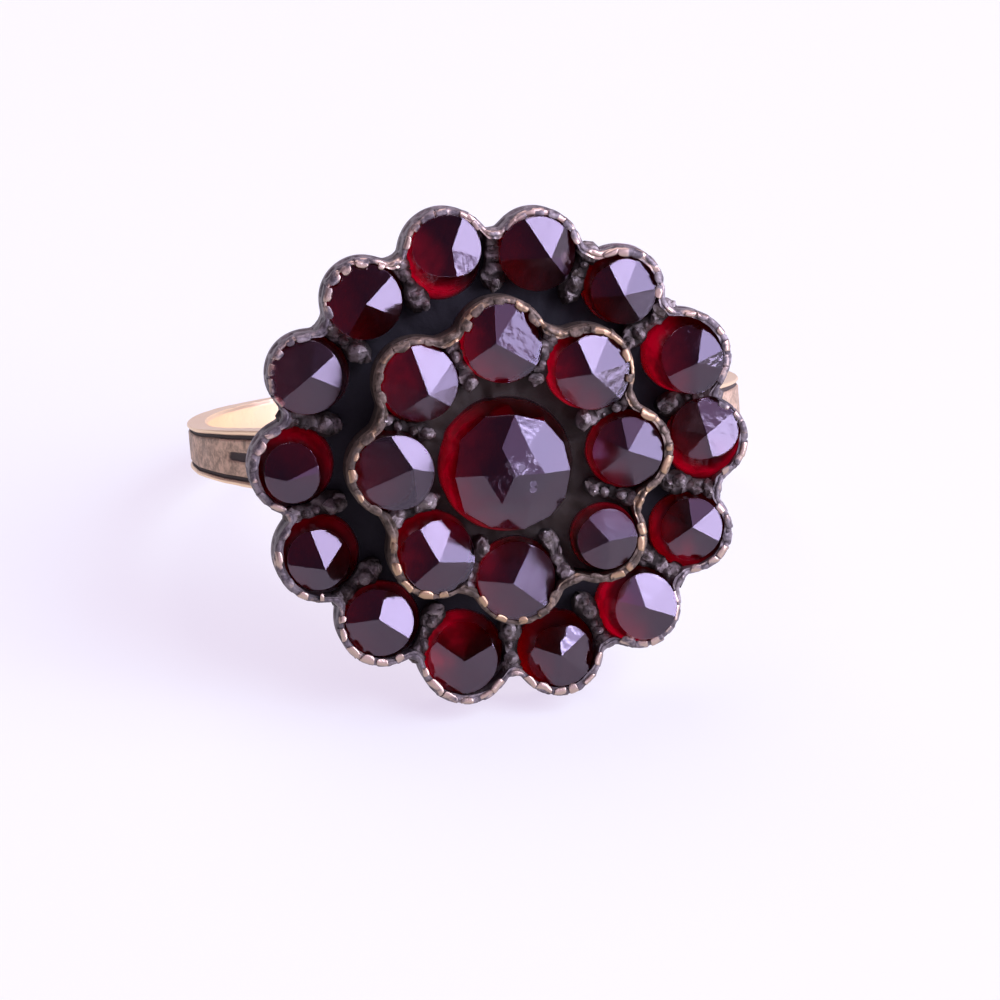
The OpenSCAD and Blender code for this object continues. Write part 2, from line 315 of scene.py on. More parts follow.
def make(name, parts, finish, slot, stands_for=(), sharp=None, **marks):
    """A piece from one or more (points, faces) in the head's frame. Each mark is a function
    of the points. Edges sharper than the given angle stay crisp."""
    points, faces = np.zeros((0, 3)), []
    for more, added in parts:
        if bulk(more, added) < 0:
            added = [f[::-1] for f in added]
        faces += [[i + len(points) for i in f] for f in added]
        points = np.concatenate([points, more])
    mesh = bpy.data.meshes.new(name)
    mesh.from_pydata(placed(points).tolist(), [], faces)
    mesh.update()
    mesh.shade_smooth()
    if sharp is not None:
        mesh.set_sharp_from_angle(angle=math.radians(sharp))
    for mark, values in marks.items():
        level = (values(points) + np.zeros(len(points))).astype(np.float32)
        mesh.attributes.new(mark, "FLOAT", "POINT").data.foreach_set("value", level)
    mesh.materials.append(finish.material)
    piece = shown(name, mesh)
    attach(piece, "root")
    if stands_for:
        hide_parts(*stands_for)
    print(f"{name}: {len(points)} points, {len(faces)} faces")
    return piece


# %% [markdown]
# ## Old metal is never even
#
# Worn claws, lumpy grains and dented walls are uneven in shape, not only in colour. A
# lattice of fixed random heights, blended smoothly between its corners, gives bumps of a
# chosen size that come out the same at each run.

# %% Unevenness
MIXERS = np.array([73856093, 19349663, 83492791])       # large primes scatter the corners


def lumps(points, size, seed):
    """Smooth bumps from -1 to 1: random heights on a lattice with that spacing, blended
    between the eight corners round each point."""
    spot = points / size
    cell = np.floor(spot).astype(np.int64)
    part = spot - cell
    part = part * part * (3 - 2 * part)
    heights = np.random.default_rng(seed).uniform(-1, 1, 4096)
    total = np.zeros(points.shape[:-1])
    for corner in np.ndindex(2, 2, 2):
        at = cell + corner
        key = np.bitwise_xor.reduce(at * MIXERS, -1)
        total += heights[key % len(heights)] * np.prod(np.where(corner, part, 1 - part), -1)
    return total


def squarish(wave, power):
    """A wave with broad tops, for a section between an oval and a box: |wave| ** power with
    the wave's sign."""
    return np.sign(wave) * np.abs(wave) ** power


def step(values, low, high):
    """A smooth step from 0 to 1 as the values go from low to high."""
    t = np.clip((values - low) / (high - low), 0, 1)
    return t * t * (3 - 2 * t)


def around(degrees):
    """Unit vectors in the plane of the head, 0 to the right and 90 along the finger."""
    a = np.radians(np.asarray(degrees, float))
    return np.stack([np.cos(a), np.sin(a)], -1)


print("a few bumps:", lumps(np.array([[0.1, 0.2, 0.3], [1.5, 0.4, 2.2]]), 0.5, 1).round(3))

# %% [markdown]
# ## The garnet finish
#
# These stones are so deep a red that they look black where light has a long way through
# them, and glow where it has a short one. That is real absorption, so the material is
# clear glass with the garnet's strong bending of light, filled with an absorbing red
# volume. A trace of scuffing on the surface softens the mirror. Light that a stone gathers
# leaves its far wall as a red crescent, which a renderer finds slowly, so that wall gives
# off a weak red glow of its own where the mesh marks it.

# %% Garnet
# The red of a painted glow on each stone's far wall, standing in for gathered window light.
GLOW = (0.27, 0.0, 0.010)               # the red that leaves a far wall


def garnet(name, density=5200.0, chips=()):
    """Chips are small broken spots on the surface, as (across, along, out, radius)."""
    finish = Finish(name, IOR=1.76, Transmission_Weight=1.0, Base_Color=(1, 1, 1),
                    Emission_Strength=1.0, Specular_Tint=(0.95, 0.78, 1.0))
    smears, dust = finish.noise(0.55, 2.0, 0.6), finish.noise(0.06, 2.0, 0.7)
    scuff, glow = finish.mark("scuff"), finish.mark("glow")
    broken = finish.mark("ground") * 0.6
    for *spot, radius in chips:
        away = finish.add("ShaderNodeVectorMath", {"operation": "DISTANCE"},
                          {"Vector": finish.places, "Vector_001": placed(np.array(spot))},
                          "Value")
        ragged = away * (1 / (radius * MM)) + (dust - 0.5) * 1.6
        broken = broken.larger(ragged.rise(0.8, 1.0, 0.5, 0.0))
    finish.set(Roughness=(smears.rise(0.4, 0.8, 0.0, 0.05) + dust.rise(0.66, 0.8, 0.0, 0.08)
                          + scuff + broken),
               Emission_Color=finish.blend(glow * smears.rise(0.35, 0.65, 0.55, 1.3),
                                           (0, 0, 0), GLOW),
               Normal=finish.bump(smears * 0.93 + dust * 0.07 - broken, 0.016))
    absorbing = finish.add("ShaderNodeVolumeAbsorption", {},
                           {"Color": (0.82, 0.02, 0.10), "Density": density})
    finish.feed(finish.tree.nodes["Material Output"].inputs["Volume"], absorbing)
    return finish


garnet_red = garnet("garnet")

# %% [markdown]
# ## Rose-cut stones
#
# Each small stone is a drum whose wall tapers from a wide base to a narrower edge, with a
# point cut from five to eight flat facets. Every one was cut by hand: the point is off
# centre and no two facets have the same width. A chart therefore holds each stone's edge
# and point, and the direction and slope of each ridge between two facets. From that the
# script asks, along each direction from the point, where the facet's plane meets the wall.

# %% Two charts of stones
# Clockwise from the upper left: the edge circle's middle (across, along) and radius, the
# point's place from that middle, the ridges' directions, and each ridge's fall in percent.
OUTER = [
    [-1.56, 6.82, 1.14, 0.11, 0.08, [120, 65, -23, -83, -104, 179], [42, 43, 41, 5, 3, 50]],
    [1.4, 6.54, 1.24, 0.36, -0.14, [120, 60, 1, -52, -130, 180], [31, 52, 98, 46, 55, 43]],
    [4.2, 5.15, 1.08, -0.1, -0.08, [112, 62, 5, -57, -112, -175], [40, 60, 63, 40, 68, 70]],
    [6.3, 2.76, 1.09, 0.12, -0.04, [129, 72, 19, -18, -92, -157], [50, 72, 55, 58, 22, 15]],
    [6.7, 0.42, 1.12, -0.07, -0.06, [100, 31, -37, -78, -137, 169], [60, 57, 35, 8, 51, 73]],
    [6.14, -2.79, 1.01, -0.12, 0.13, [148, 89, 31, -32, -56, -141], [82, 75, 53, 33, 50, 62]],
    [4.38, -5.27, 1.13, -0.02, 0.05, [164, 104, 38, -23, -74, -126], [12, 45, 58, 40, 43, 20]],
    [1.61, -6.73, 1.03, -0.1, 0.09, [163, 91, 78, 33, -40, -93], [63, 61, 67, 65, 59, 51]],
    [-1.65, -6.68, 1.12, -0.04, 0.07, [144, 83, 22, -32, -85, -147], [62, 84, 49, 55, 55, 70]],
    [-4.34, -5.22, 1.14, -0.09, 0.18, [133, 72, 16, -37, -98, -170], [70, 24, 43, 28, 51, 62]],
    [-6.24, -3, 1.05, 0.16, -0.3, [108, 51, 0, -32, -63, 172], [28, 43, 66, 57, 34, 43]],
    [-6.92, -0.15, 1, -0.26, -0.18, [166, 82, 22, 10, -82], [45, 55, 20, 15, 25]],
    [-6.32, 2.94, 1.22, 0.1, 0.08, [164, 78, 37, -26, -81, -141], [49, 55, 33.3, 21.4, 52, 41]],
    [-4.31, 5.28, 1.23, -0.01, -0.03, [161, 102, 78, 42, -26, -75, -121],
     [59, 58, 60, 46, 45, 54, 33]],
]
INNER = [
    [-0.05, 3.84, 1.29, -0.34, 0.07, [109, 86, 51, -32, -70, -90, -144, 166],
     [66, 59, 55, 42, 54, 58, 62, 79]],
    [2.8, 2.74, 1.22, -0.11, 0.01, [110, 59, 9, -44, -113, -171], [43, 63, 59, 46, 58, 62]],
    [3.84, 0.11, 1.12, -0.12, 0.1, [95, 51, -22, -78, -138, 154], [66, 64, 47, 58, 72, 78]],
    [3, -2.7, 0.99, -0.02, 0.03, [130, 93, 45, 3, -90, -152], [42, 74, 85, 46, 55, 56]],
    [-0.02, -3.9, 1.26, -0.18, 0.04, [116, 56, 6, -40, -80, -123, 177],
     [73, 58, 78, 48, 53, 59, 70]],
    [-2.5, -2.95, 1.2, -0.06, -0.06, [117, 98, 61, -8, -21, -80, -137, -170],
     [40, 54, 67, 57, 55, 62, 51, 71]],
    [-3.77, -0.1, 1.25, 0.53, 0.14, [121, 42, 20, -15, -85, -155], [25, 50, 58, 58, 25, 50]],
    [-2.82, 2.72, 1.23, 0.2, -0.34, [159, 106, 47, 12, -32, -85, -148],
     [54, 42, 61, 67, 59, 77, 50]],
]


class Tier:
    """The sizes of one tier, as in the CAD source, in mm: rings, heights and claws. A lobe
    leans a little after its stone, and trim changes its radius. fin_w is half the width of
    a fin of grains. A share darkens all the low parts, as dirt and as painted shade, and dirt
    says how rough the floor is. A few stones are odd: their base is moved and has its own
    radius."""

    def __init__(self, **sizes):
        self.__dict__.update(sizes)
        self.angles = self.first - np.arange(self.count) * 360 / self.count
        self.columns = 84 * self.count                  # of the tray's grid
        self.seats = self.ring_r * around(self.angles)
        self.crowns = np.array([row[:2] for row in self.chart])
        self.crown_r = np.array([row[2] for row in self.chart])
        self.trim = np.array(self.trim)
        self.lobes = self.seats + 0.3 * (self.crowns - self.seats)
        self.bases, self.base_r = self.seats.copy(), np.full(self.count, self.stone_r)
        for k, (dx, dy, radius) in self.odd.items():
            self.bases[k], self.base_r[k] = self.bases[k] + (dx, dy), radius

    def stones_at(self, height):
        """Middles and radii of the tapered stones at a height."""
        share = np.clip((height - self.seat) / (self.girdle - self.seat), 0, 1)
        return (self.bases + share * (self.crowns - self.bases),
                self.base_r + share * (self.crown_r - self.base_r))


lower = Tier(count=14, first=90 + 180 / 14, ring_r=6.808, lobe_r=1.53, stone_r=1.32, web_r=7.40,
             back=9.5, floor=10.2, seat=10.25, girdle=11.5, crown_h=0.66, claws=6, spread=124,
             chart=OUTER, trim=[-0.04, -0.1, -0.18, 0, -0.15, -0.15, -0.13, -0.07, 0.02, -0.06,
                                0, 0, -0.1, -0.12], low_grime_and_shade=0.3, fin_w=0.42, dirt=0.05,
             odd={0: (-0.18, -0.16, 1.36), 8: (-0.1, 0.1, 1.4)})
upper = Tier(count=8, first=91.6, ring_r=3.854, lobe_r=1.50, stone_r=1.33, web_r=4.58,
             back=11.55, floor=12.1, seat=12.15, girdle=13.4, crown_h=0.68, claws=5, spread=116,
             chart=INNER, trim=[0] * 8, low_grime_and_shade=0.85, fin_w=0.33, dirt=0.20,
             odd={3: (0.22, -0.08, 1.12)})
print("ridges on the outer stones:", [len(row[5]) for row in OUTER])

# %% The surface of a rose-cut stone
WALL_ROWS = (0.0, 0.35, 0.7, 1.0)       # shares of the way from the base to the edge


def wall_at(height, base, edge):
    """Middle and radius of a tapered drum at a height: both go in a straight line from the
    base, given as (middle, radius, height), to the edge."""
    share = ((height - base[2]) / (edge[2] - base[2]))[..., None]
    middle = base[0] + share * (edge[0] - base[0])
    return middle, base[1] + share[..., 0] * (edge[1] - base[1])


def rose_cut(base, edge, point, ridges, slopes):
    """A drum with a faceted point. Between two ridges lies the plane that holds both, and
    its height falls from the point by a slope that depends on the direction. Along each
    direction the surface runs out on that plane until it meets the wall."""
    order = np.argsort(np.asarray(ridges) % 360)
    ridge = np.sort(np.asarray(ridges, float) % 360)
    slopes = np.asarray(slopes, float)[order] / 100
    line = np.concatenate([around(ridge), -slopes[:, None]], 1)
    normal = np.cross(line, np.roll(line, -1, 0))
    width = (np.roll(ridge, -1) - ridge) % 360
    steps = np.maximum((width / 7).astype(int), 2)
    facet = np.repeat(np.arange(len(ridge)), steps)
    share = np.concatenate([np.arange(n) / n for n in steps])
    ray = around(ridge[facet] + share * width[facet])
    fall = (normal[facet, :2] * ray).sum(1) / normal[facet, 2]
    start, reach = np.asarray(point[:2]), np.full(len(ray), edge[1])
    for _ in range(30):
        middle, radius = wall_at(point[2] - reach * fall, base, edge)
        gap = np.linalg.norm(start + reach[:, None] * ray - middle, axis=1)
        reach = reach + 0.8 * (radius - gap)
    rim = np.concatenate([start + reach[:, None] * ray, (point[2] - reach * fall)[:, None]], 1)
    middle, radius = wall_at(rim[:, 2], base, edge)
    side = (rim[:, :2] - middle) / radius[:, None]
    rows = []
    for share in WALL_ROWS:
        height = base[2] + share * (rim[:, 2] - base[2])
        middle, radius = wall_at(height, base, edge)
        rows.append(np.concatenate([middle + radius[:, None] * side, height[:, None]], 1))
    points, faces = skin(np.stack(rows))
    points[-1] = point
    return points, faces


def soften(piece, columns):
    """Rounds the edge between the facets and the wall a little, as wear does. That edge is
    the grid's last row of so many columns."""
    ends = np.zeros(2 * len(piece.data.edges), np.int32)
    piece.data.edges.foreach_get("vertices", ends)
    rim = (ends // columns == len(WALL_ROWS) - 1).reshape(-1, 2).all(1)
    weight = piece.data.attributes.new("bevel_weight_edge", "FLOAT", "EDGE")
    weight.data.foreach_set("value", rim.astype(np.float32))
    bevel = piece.modifiers.new("worn_edges", "BEVEL")
    bevel.width, bevel.segments, bevel.limit_method = 0.03 * MM, 2, "WEIGHT"
    bevel.harden_normals = True


def lit_wall(middle, radius, low, high, strength, towards):
    """A painted red glow on the stone's far wall, standing in for window light gathered by the
    stone: most where the wall faces towards, half way up, and none on the facets."""
    def lit(points):
        side = points[:, :2] - middle
        away = np.linalg.norm(side, axis=1)
        facing = (side @ around(towards)) / np.maximum(away, 0.01)
        up = (points[:, 2] - low) / (high - low)
        return (strength * step(facing, -0.1, 0.8) * step(away, 0.72 * radius, 0.85 * radius)
                * step(up, 0.0, 0.3) * (1 - 0.75 * step(up, 0.75, 0.95)))
    return lit


# How strong each stone's painted red glow is and which way it faces, and how scuffed its facets
# are.
LIT = {lower: [(1.1, 215), (0.1, 200), (0.02, 200), (0.9, 190), (0.8, 265), (0.35, 220),
               (1.1, 205), (0.05, 180), (0.55, 150), (0.1, 90), (0.1, 70), (0.3, 50),
               (0.1, 200), (0.2, 210)],
       upper: [(0.8, 215), (0.8, 210), (0.2, 200), (0.25, 80), (0.3, 190), (0.2, 120),
               (0.05, 200), (0.45, 150)]}
SCUFFED = {lower: {1: 0.08, 2: 0.12, 4: 0.05, 9: 0.05, 12: 0.22, 13: 0.06},
           upper: {1: 0.10, 2: 0.16, 3: 0.2, 4: 0.18, 5: 0.04, 6: 0.18, 7: 0.16}}


def set_stone(row, tier, k):
    """One charted stone as a finished piece in place of its CAD node. Its flat base was
    only ground, not polished."""
    across, along, radius, dx, dy, ridges, slopes = tier.chart[k]
    base = (tier.bases[k], tier.base_r[k], tier.seat)
    edge = (np.array([across, along]), radius, tier.girdle)
    point = np.array([across + dx, along + dy, tier.girdle + tier.crown_h])
    points, faces = rose_cut(base, edge, point, ridges, slopes)
    stone = make(f"{row}_rose_cut_{k + 1}", [(points, faces)], garnet_red, "garnet",
                 [f"{row}_stone_{k + 1}"], sharp=9, ground=lambda p: p[:, 2] < tier.seat + 0.01,
                 scuff=lambda p: SCUFFED[tier].get(k, 0.0),
                 glow=lit_wall(edge[0], radius, tier.seat, tier.girdle, *LIT[tier][k]))
    soften(stone, (len(points) - 2) // len(WALL_ROWS))


for row, tier in (("outer", lower), ("inner", upper)):
    for k in range(tier.count):
        set_stone(row, tier, k)

# %% [markdown]
# ## The centre stone
#
# The large stone has two rows of facets, the old double rose cut: six triangles meet at
# the point, and a ring of eighteen more runs down to a twelve-cornered edge. They are
# charted corner by corner. Below the edge the wall changes to a round base. A few chips
# near the point are spots of the finish.

# %% The centre stone
CENTRE_BASE, CENTRE_R = np.array([-0.08, -0.15]), 2.25
EDGE_R, EDGE_UP = 2.1, 13.8             # the edge's mean radius and height
CUT = 6                                 # points to each side of the edge
POINT = (-0.06, -0.27, 14.78)
BREAK = [(0.45, 0.56, 14.43), (-0.41, 0.60, 14.48), (-1.01, -0.27, 14.45),
         (-0.50, -1.20, 14.57), (0.39, -1.26, 14.48), (0.94, -0.31, 14.45)]
EDGE = [(1.11, 1.3, 13.75), (0.12, 1.59, 13.91), (-0.81, 1.56, 13.77),
        (-1.66, 0.87, 13.77), (-1.89, -0.35, 13.77), (-1.65, -1.49, 13.77),
        (-0.8, -2.04, 13.77), (0.28, -2.16, 13.77), (1.15, -1.78, 13.77),
        (1.66, -1.21, 13.77), (1.85, -0.31, 13.86), (1.68, 0.57, 13.74)]

CHIPS = [(0.17, -0.07, 14.62, 0.13), (0.53, -0.62, 14.50, 0.13), (0.53, -0.80, 14.50, 0.12),
         (-0.26, 0.06, 14.68, 0.12), (-0.20, -0.16, 14.74, 0.10), (-0.06, -0.27, 14.78, 0.09)]


def double_rose_cut():
    """Facets between the charted corners, all counted against the clock from the upper
    right. The wall is a mix of the twelve-cornered edge, with CUT points to a side, and the
    round base: share * edge + (1 - share) * base."""
    corner = np.array(EDGE)
    share = (np.arange(len(EDGE) * CUT) % CUT / CUT)[:, None]
    here = np.repeat(corner, CUT, 0)
    rim = here + share * (np.repeat(np.roll(corner, -1, 0), CUT, 0) - here)
    side = rim[:, :2] - corner[:, :2].mean(0)
    side /= np.linalg.norm(side, axis=1)[:, None]
    base = np.concatenate([CENTRE_BASE + CENTRE_R * side, np.full((len(rim), 1), upper.seat)], 1)
    points, faces = skin(np.stack([base + t * (rim - base) for t in WALL_ROWS]))
    faces = [f for f in faces if len(points) - 1 not in f]
    first = (len(WALL_ROWS) - 1) * len(rim)
    points = np.concatenate([points[:-1], BREAK, [POINT]])
    top = len(points) - 1
    for k in range(6):
        b, c = top - 6 + k, top - 6 + (k + 1) % 6
        q, p = 2 * k * CUT, (2 * k + 1) * CUT
        near = [first + q + i for i in range(CUT + 1)]
        far = [first + (p + i) % len(rim) for i in range(CUT + 1)]
        faces += [[top, b, c], [b, *near], [b, near[-1], c], [c, *far]]
    return points, faces


soften(make("centre_double_rose_cut", [double_rose_cut()],
            garnet("garnet_centre", 4200.0, CHIPS), "garnet", ["centre_stone"], sharp=9,
            ground=lambda p: p[:, 2] < upper.seat + 0.01, scuff=lambda p: 0.05,
            glow=lit_wall(CENTRE_BASE, EDGE_R, upper.seat, EDGE_UP, 0.55, 195)),
       len(EDGE) * CUT)

# %% [markdown]
# ## The metal's finish
#
# Gilt brass that has been worn for a century: copper-pink and bright where fingers rub
# it, a grey-lilac film on the walls, and near black in the corners and low between the
# stones, which is grime and painted shade. Painted shade also darkens the side that faces
# the lower left, and a painted highlight brightens the crests at the head's top side. The
# meshes carry two marks, one for wear with that painted highlight and one for grime with
# that painted shade, that say where each belongs, and noise breaks up their edges. The
# floor under a stone, whose wear mark is set far past 1, kept its clean skin.

# %% Worn gilt brass
CLEAN_SKIN = (0.60, 0.50, 0.45)


def worn_brass(name, bright=(0.47, 0.35, 0.28), film=(0.25, 0.21, 0.21),
               shade=(0.075, 0.06, 0.065), dirt=(0.012, 0.010, 0.014)):
    """Four tones: bare metal polished by wear, the film on it in two depths, and a near-black
    for dirt. The wear mark lays the polished metal and also carries a painted highlight; the
    dark mark lays the near-black and also carries painted shade.
    """
    finish = Finish(name, Specular_IOR_Level=0.3)
    cloud, grit = finish.noise(0.45, 3.0, 0.6), finish.noise(0.13, 3.0, 0.6)
    worn, grime = finish.mark("worn"), finish.mark("grime")
    # Polished metal where the wear mark is high; on the tray crests at the head's top side it is
    # a painted highlight.
    rubbed_and_lit = (worn + (cloud - 0.5) * 0.7 + (grit - 0.5) * 0.25).rise(0.40, 0.60)
    # The near-black dirt tone where the dark mark is high: grime, and painted shade in recesses,
    # low between the stones and on the side that faces the lower left.
    dark = (grime + (cloud - 0.5) * 0.8 + (grit - 0.5) * 0.4).rise(0.35, 0.75)
    tone = finish.blend((cloud * 0.6 + grit * 0.4).rise(0.38, 0.62), shade, film)
    tone = finish.blend(rubbed_and_lit, tone, bright)
    tone = finish.blend(dark, tone, dirt)
    tone = finish.blend(worn.rise(1.3, 1.8), tone, CLEAN_SKIN)
    finish.set(Base_Color=tone, Metallic=(0.45 + rubbed_and_lit * 0.45) * (1 - dark),
               Roughness=0.38 + (1 - rubbed_and_lit) * 0.14 + dark * 0.2,
               Normal=finish.bump(cloud * 0.5 + grit * 0.5, 0.04))
    return finish


tray_metal = worn_brass("worn_brass")
upper_metal = worn_brass("worn_brass_warm", (0.38, 0.25, 0.15), (0.18, 0.13, 0.10),
                         (0.05, 0.035, 0.025), (0.026, 0.017, 0.012))

# %% [markdown]
# ## The scalloped trays
#
# Each tray is a flat plate whose edge is drawn up into a wall, with a round lobe in front
# of every stone. Its outline is the farthest point of all the lobe circles along each
# direction, and a smooth maximum rounds the dips between them. The inner wall follows the
# stones with a hair of room: wide at the foot, and leaning in at the top, where it was
# pressed over their edge. The surface is one closed loop: out along the back, up the
# outer wall, over the lip, down the inner wall and back over the floor to the rivet hole.

# %% Outlines with lobes


def soft_max(a, b, width):
    """The larger of two values, rounded where they are about equal."""
    return (a + b + np.sqrt((a - b) ** 2 + width ** 2)) / 2 - width / 8


def lobed(turn, centres, radii, web, width):
    """How far out the outline lies along each direction: the far side of the circles that
    the direction cuts, or the web's own circle between two lobes."""
    ray = around(turn)
    along = ray @ centres.T
    beside = ray[:, :1] * centres[:, 1] - ray[:, 1:] * centres[:, 0]
    inside = np.asarray(radii) ** 2 - beside ** 2
    hit = (inside > 0) & (along > 0)
    circle = np.where(hit, along + np.sqrt(np.maximum(inside, 0)), 0).max(1)
    return soft_max(circle, web, width)


def notches(tier, turn, outer):
    """For each direction: 1 in the dips between lobes, and 1 on the pads of the lip, with
    0 in the narrow gaps between them. Pads are counted by the angle round the lobe."""
    nearest = np.round((tier.first - turn) / (360 / tier.count)).astype(int) % tier.count
    spot = outer[:, None] * around(turn) - tier.seats[nearest]
    local = np.degrees(np.arctan2(spot[:, 1], spot[:, 0])) - tier.angles[nearest]
    local = (local + 180) % 360 - 180
    valley = step(np.abs(local), tier.spread / 2 + 4, tier.spread / 2 + 20)
    gap = tier.spread / (tier.claws - 1)
    wobble = 3.0 * lumps(np.stack([spot[:, 0], spot[:, 1], nearest], -1), 0.5, 41)
    between = np.abs((((local + wobble) / gap + tier.claws / 2) % 1) - 0.5) * gap
    pad = 1 - step(between, gap * 0.30, gap * 0.42)
    return valley, pad * (1 - valley)


def under_stones(tier, points):
    """1 on the floor under a stone, where the metal stayed clean and bright."""
    away = (np.linalg.norm(points[..., None, :2] - tier.bases, axis=-1) - tier.base_r).min(-1)
    if tier is upper:
        away = np.minimum(away, np.linalg.norm(points[..., :2] - CENTRE_BASE, axis=-1) - CENTRE_R)
    low = np.abs(points[..., 2] - tier.floor) < 0.04
    return low * (1 - step(away, -0.42, -0.14))


def tray(tier, floor_rows, back_rows):
    """The loop of one tray as rows of (radius, height), then bumps added outwards and rough
    dirt on the floor. Also gives the marks for wear, with a painted highlight on the crests
    towards the head's top side, and for the bare floor."""
    turn = np.arange(tier.columns) * 360 / tier.columns
    outer = lobed(turn, tier.lobes, tier.lobe_r + tier.trim, tier.web_r, 0.16)
    valley, pad = notches(tier, turn, outer)
    flat = np.zeros(len(turn))
    wall = tier.girdle - 0.12 - tier.back
    rows = []
    for t in (0.0, 0.03, 0.08, 0.16, 0.26, 0.34, 0.38, 0.46, 0.54, 0.62, 0.68, 0.72, 0.80, 0.87,
              0.93, 0.97, 1.0):
        panel = step(t, 0.34, 0.38) * (1 - step(t, 0.68, 0.72))
        cut = step(t, 0.78, 0.88)
        round_off = 0.06 * (1 - step(t, 0, 0.04)) + 0.05 * step(t, 0.9, 1.1)
        rows.append((outer - round_off - 0.05 * pad * panel
                     - 0.05 * (1 - pad) * (1 - valley) * cut, tier.back + t * wall + flat))
    centres, radii = tier.stones_at(tier.girdle)
    lip = np.clip(lobed(turn, centres, radii + 0.02, tier.web_r - 0.55, 0.12),
                  outer - 0.24, outer - 0.12)
    for t in (0.06, 0.16, 0.3, 0.5, 0.7, 0.86, 0.96, 1.0):
        arch = math.sqrt(max(0, 1 - (2 * t - 1) ** 2))
        height = tier.girdle - 0.11 + 0.02 * t + arch * (0.03 + 0.08 * valley)
        rows.append((outer - 0.05 + t * (lip - outer + 0.05), height))
    for t in (0.94, 0.85, 0.7, 0.5, 0.3, 0.12, 0.04):
        height = tier.floor + t * (tier.girdle - tier.floor)
        centres, radii = tier.stones_at(height)
        line = lobed(turn, centres, radii + 0.045, tier.web_r - 0.60, 0.12)
        rows.append((np.clip(line, outer - 0.32, outer - 0.15), height + flat))
    floor = rows[-1][0]
    for t in (0.98, 0.95, *np.linspace(0.92, 0.4, 14), 0.3, 0.2):
        rows.append((floor * t, tier.floor + flat))
    rows += [(radius + flat, height + flat) for radius, height in floor_rows]
    rows += [(outer * t, tier.back + flat) for t in back_rows]
    radius, height = np.stack([r for r, _ in rows]), np.stack([h for _, h in rows])
    grid = np.concatenate([radius[..., None] * around(turn), height[..., None]], -1)
    rough = step(height, tier.girdle - 0.9, tier.girdle) * (0.4 + 0.6 * valley)
    push = 0.015 * lumps(grid, 0.5, 3) + rough * (0.06 * lumps(grid, 0.22, 5)
                                                  + 0.04 * lumps(grid, 0.10, 6))
    away = np.concatenate([0.5 * around(turn), np.full((len(turn), 1), 0.8)], 1)
    bare = under_stones(tier, grid)
    dirt = (np.abs(height - tier.floor) < 0.01) * (1 - bare) * tier.dirt * (
        1 + 0.9 * lumps(grid, 0.36, 15) + 0.15 * lumps(grid, 0.2, 16))
    grid = grid + push[..., None] * away * (1 - bare[..., None]) + dirt[..., None] * (0, 0, 1)
    high = step(height, tier.girdle - 0.3, tier.girdle - 0.05)
    # Rubbed crests, plus a painted highlight on the crests towards the head's top side (along 2.5
    # to 6.5 mm).
    worn = 0.10 + high * (0.14 + 0.32 * step(grid[..., 1], 2.5, 6.5) + 0.45 * lumps(grid, 0.4, 7))
    return grid, (worn + 2 * bare).ravel(), bare.ravel()


def floor_grime(tier, bare):
    """Darkening on the floor between the stones and low on the walls, none under a stone:
    dirt, and painted shade in those recesses. Every low part, the back too, also takes the
    tier's share for low parts, which on the upper tray paints its drum as shaded, and every
    part takes a thin film of dirt, with painted shade added on the side that faces the
    lower left."""
    def grime(points):
        # Low inside the lobes: grime and painted shade in the recesses.
        deep = 1 - step(points[:, 2], tier.floor + 0.2, tier.girdle - 0.10)
        front = step(points[:, 2], tier.floor - 0.12, tier.floor - 0.04)
        radius = np.hypot(points[:, 0], points[:, 1])
        shelter = 1 - step(radius, tier.web_r - 0.55, tier.web_r - 0.1)
        # Painted shade on the side that faces the lower left, added to a thin film of grime.
        toward_shaded_side = points[:, :2] @ (-0.6, -0.8) / np.maximum(radius, 0.1)
        film = 0.12 + 0.30 * step(toward_shaded_side, -0.4, 0.7) + 0.25 * lumps(points, 0.7, 13)
        return np.maximum(np.maximum(deep * shelter * front, tier.low_grime_and_shade * deep), film) * (1 - bare)
    return grime


# From the floor to the rivet hole, then the plain back; the upper tray stands on a drum.
LOWER_MIDDLE = [(0.5, 10.2), (0.5, 9.5), (1.6, 9.5), (3.0, 9.5)]
UPPER_MIDDLE = [(0.9, 12.1), (0.87, 11.6), (0.5, 11.6), (0.5, 10.23), (2.5, 10.23),
                (4.30, 10.23), (4.384, 10.32), (4.384, 10.9), (4.384, 11.5), (4.42, 11.55)]
for name, tier, metal, node, middle, back in (
        ("lower_tray", lower, tray_metal, "ring_mount", LOWER_MIDDLE, [0.5, 0.7, 0.85, 0.95]),
        ("upper_tray", upper, upper_metal, "upper_setting", UPPER_MIDDLE, [])):
    grid, worn, bare = tray(tier, middle, back)
    make(name, [skin(grid, loop=True)], metal, "gilt_brass", [node], sharp=50,
         grime=floor_grime(tier, bare), worn=lambda p: worn)

# %% [markdown]
# ## The claws
#
# After a stone is dropped in its lobe, small tongues of the wall are pushed over its edge.
# Each is a short strap along a curve that climbs the wall and bends in, rubbed almost
# flat by now. A flat oval section carried along that curve makes one claw, one array holds
# the whole row, and small random changes keep them from looking stamped out.

# %% Claws


def bend(corners, t):
    """A smooth curve through control points, by the cubic Bezier formula."""
    a, b, c, d = corners
    t = t[:, None]
    return (1 - t) ** 3 * a + 3 * (1 - t) ** 2 * t * b + 3 * (1 - t) * t ** 2 * c + t ** 3 * d


